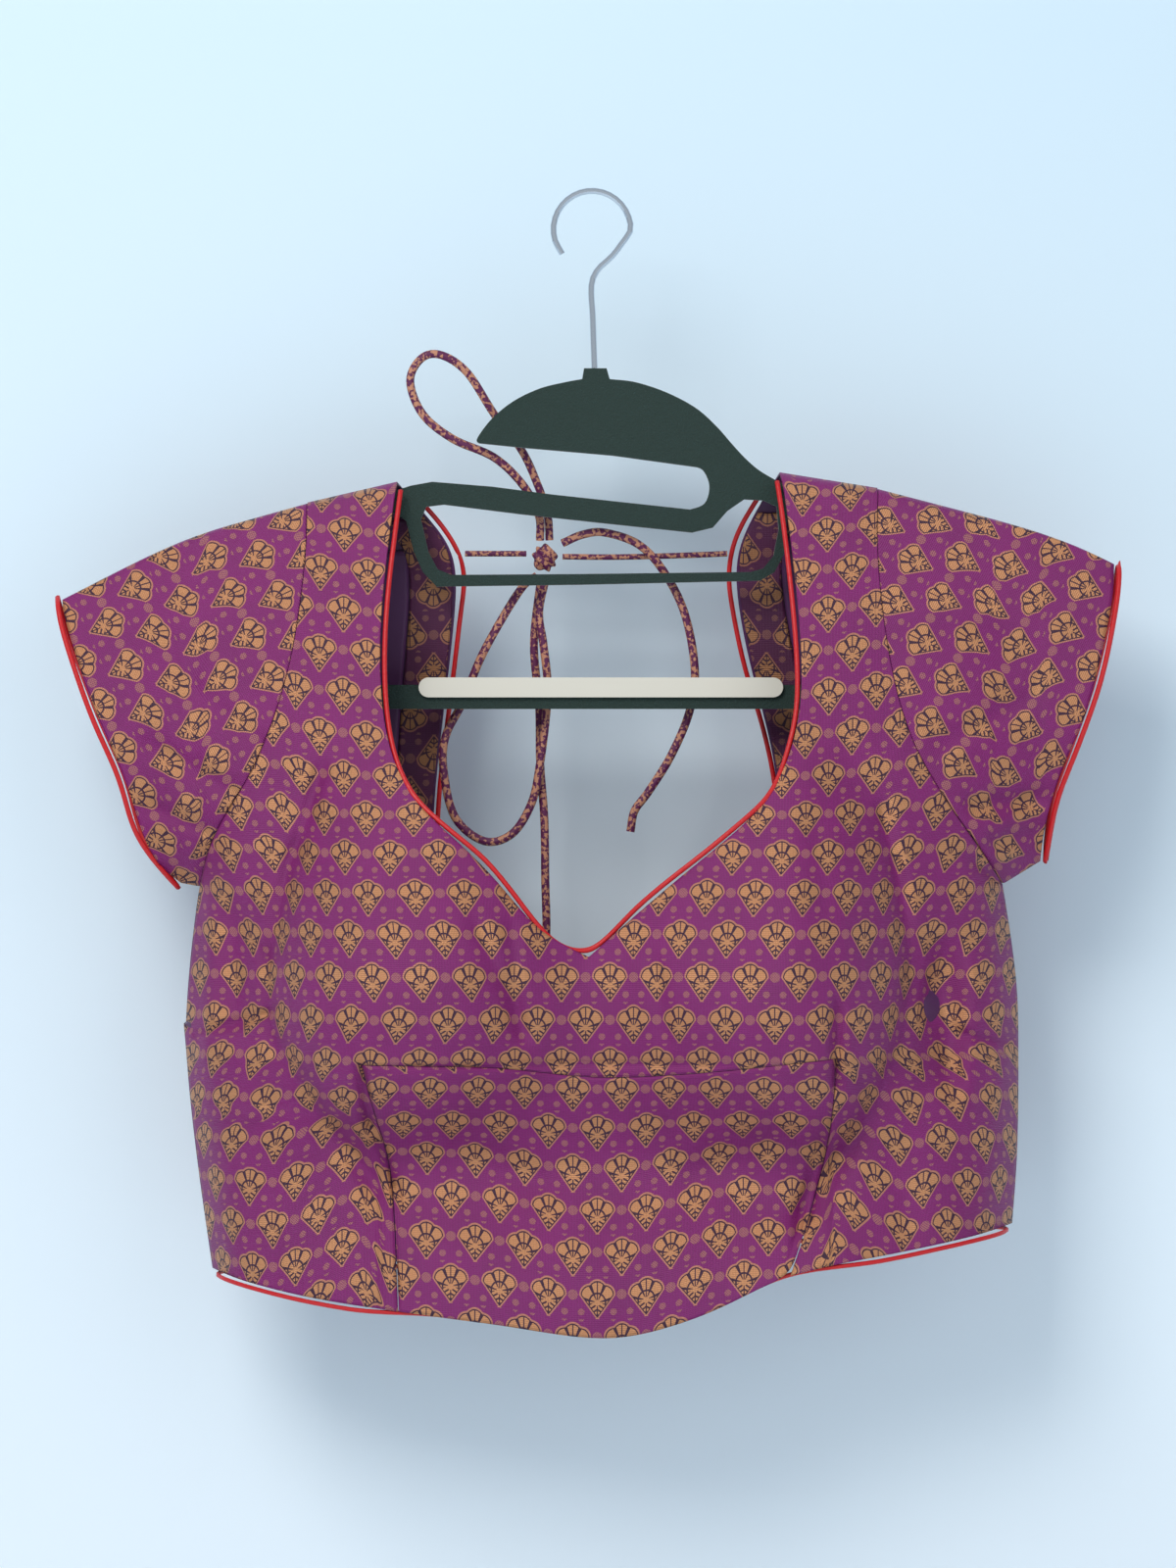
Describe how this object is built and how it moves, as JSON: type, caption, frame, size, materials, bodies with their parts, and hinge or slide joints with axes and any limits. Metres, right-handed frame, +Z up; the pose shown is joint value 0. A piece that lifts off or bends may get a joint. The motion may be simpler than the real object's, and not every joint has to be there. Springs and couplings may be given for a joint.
{
  "type": "choli blouse on hanger",
  "caption": "Short-sleeved brocade choli blouse with moulded cups, a deep V neck and a corded back tie, hung on a flocked plate hanger.",
  "frame": {"origin": "inner top of the hook, where a rail carries it", "axes": "+Z up, +X to the right seen from the front, the front faces -Y"},
  "size_m": [0.5111, 0.124, 0.5466],
  "materials": {
    "brocade": "shot silk with woven metallic motifs",
    "cord": "bias cord of the same brocade",
    "lining": "smooth satin",
    "piping": "satin corded edge",
    "flock": "flocked",
    "steel": "bright plated wire",
    "grip": "soft satin"
  },
  "bodies": {
    "root": {"hanger_body": "flock", "hanger_hook": "steel", "grip_strip": "grip", "front_bodice": "brocade", "front_midriff": "brocade", "neck_piping_front": "piping", "hem_piping": "piping", "tie_knot": "cord", "back_left": "brocade", "sleeve_left": "brocade", "back_facing_left": "brocade", "back_lining_left": "lining", "neck_piping_back_left": "piping", "cuff_piping_left": "piping", "back_right": "brocade", "sleeve_right": "brocade", "back_facing_right": "brocade", "back_lining_right": "lining", "neck_piping_back_right": "piping", "cuff_piping_right": "piping", "tie_taut_left": "cord", "tie_taut_right": "cord", "tie_upper_loop": "cord", "tie_lower_loop": "cord", "tie_right_tail": "cord", "tie_long_tail": "cord"}
  },
  "joints": []
}
